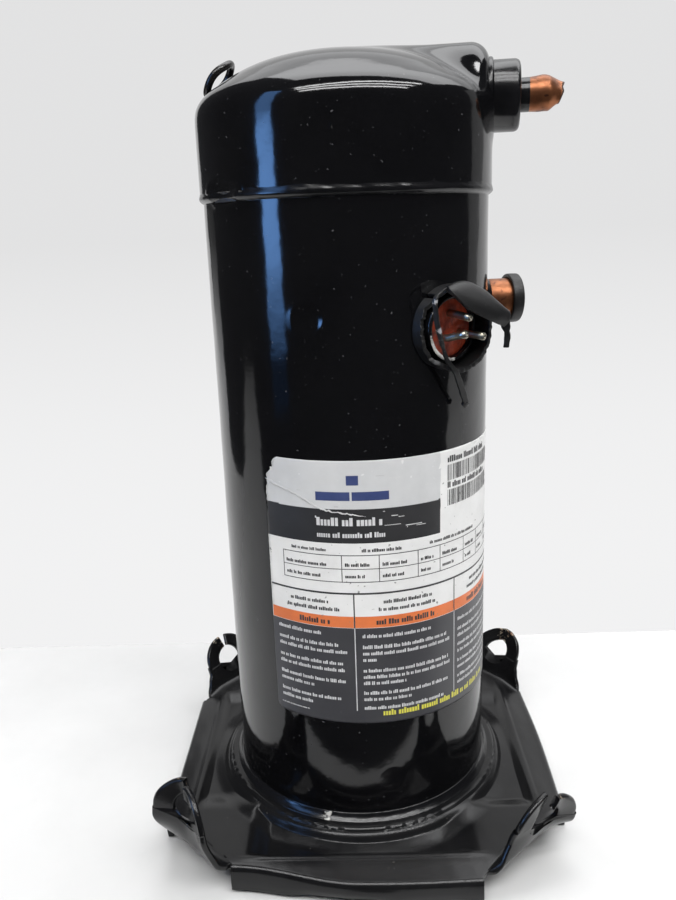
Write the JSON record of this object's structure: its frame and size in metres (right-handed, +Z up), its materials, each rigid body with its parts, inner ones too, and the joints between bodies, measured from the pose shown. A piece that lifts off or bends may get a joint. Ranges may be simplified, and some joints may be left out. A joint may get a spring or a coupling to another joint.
{
  "type": "scroll compressor",
  "caption": "Upright hermetic scroll compressor: black welded shell on a pressed base, copper suction and discharge stubs, motor, crankshaft and scroll set inside.",
  "frame": {"origin": "on the floor, under the axis of the shell", "axes": "+Z up along the shell axis; +X towards the side with the suction and discharge stubs; -Y towards the side with the rating label"},
  "size_m": [0.208, 0.208, 0.393],
  "materials": {
    "black_paint": "gloss black oven paint over pressed steel",
    "copper": "copper tube, lightly oxidised",
    "bare_steel": "bare machined steel",
    "cast_iron": "machined grey iron",
    "laminations": "stacked electrical steel, edges dull",
    "aluminium": "die cast",
    "bronze": "bearing bronze",
    "winding": "varnished copper magnet wire, laced",
    "rubber": "black moulded rubber",
    "sealant": "orange red sealing compound",
    "plastic": "moulded plastic",
    "dark_plastic": "moulded plastic",
    "wire_cover": "insulated stranded wire",
    "label": null,
    "tin": "nickel plated steel"
  },
  "bodies": {
    "casing": {"center_shell": "black_paint", "top_cap": "black_paint", "bottom_cap": "black_paint", "base_plate": "black_paint", "seam_weld": "black_paint", "base_weld": "black_paint", "lifting_eye": "black_paint", "discharge_fitting": "black_paint", "discharge_stub": "copper", "check_valve_seat": "bare_steel", "check_valve_stop": "bare_steel", "suction_collar": "black_paint", "suction_stub": "copper", "suction_baffle": "bare_steel", "terminal_fence": "bare_steel", "terminal_body": "bare_steel", "terminal_sealant": "sealant", "terminal_pins": "tin", "terminal_cover": "rubber", "cover_strap": "rubber", "lead_block": "plastic", "motor_leads": "wire_cover", "rating_label": "label", "muffler_plate": "bare_steel", "relief_valve": "bronze", "temperature_disc": "bare_steel", "fixed_scroll": "cast_iron", "scroll_bolts": "bare_steel", "main_bearing_housing": "cast_iron", "main_bush": "bronze", "stator_core": "laminations", "stator_winding": "winding", "motor_protector": "dark_plastic", "lower_bearing_frame": "cast_iron", "lower_bush": "bronze", "thrust_washer": "bare_steel", "sump_magnet": "dark_plastic"},
    "crank": {"crankshaft": "bare_steel", "drive_bushing": "bronze", "upper_counterweight": "cast_iron", "lower_counterweight": "cast_iron", "rotor_core": "laminations", "rotor_cage": "aluminium", "oil_pickup": "bare_steel"},
    "orbiter": {"orbiting_scroll": "cast_iron", "hub_bush": "bronze"},
    "oldham": {"oldham_ring": "aluminium"},
    "seal": {"floating_seal": "bare_steel"},
    "valve_disc": {"check_valve_disc": "bare_steel"},
    "plug": {"suction_plug": "rubber"}
  },
  "joints": [
    {"name": "crank_spin", "type": "hinge", "parent": "casing", "child": "crank", "pos_m": [0, 0, 0.155], "axis": [0, 0, 1], "continuous": true},
    {"name": "scroll_orbit", "type": "hinge", "parent": "crank", "child": "orbiter", "pos_m": [0.00437, 0, 0.28], "axis": [0, 0, 1], "continuous": true},
    {"name": "oldham_slide", "type": "slide", "parent": "casing", "child": "oldham", "axis": [1, 0, 0], "range_m": [-0.00437, 0.00437]},
    {"name": "seal_lift", "type": "slide", "parent": "casing", "child": "seal", "axis": [0, 0, 1], "range_m": [0, 0.00075]},
    {"name": "check_valve_travel", "type": "slide", "parent": "casing", "child": "valve_disc", "axis": [0.9903, -0.1392, 0], "range_m": [0, 0.003]},
    {"name": "plug_pull", "type": "slide", "parent": "casing", "child": "plug", "axis": [0.9848, 0.1736, 0], "range_m": [0, 0.06]}
  ],
  "couplings": [
    {"joint": "scroll_orbit", "follows": "crank_spin", "ratio": -1}
  ]
}
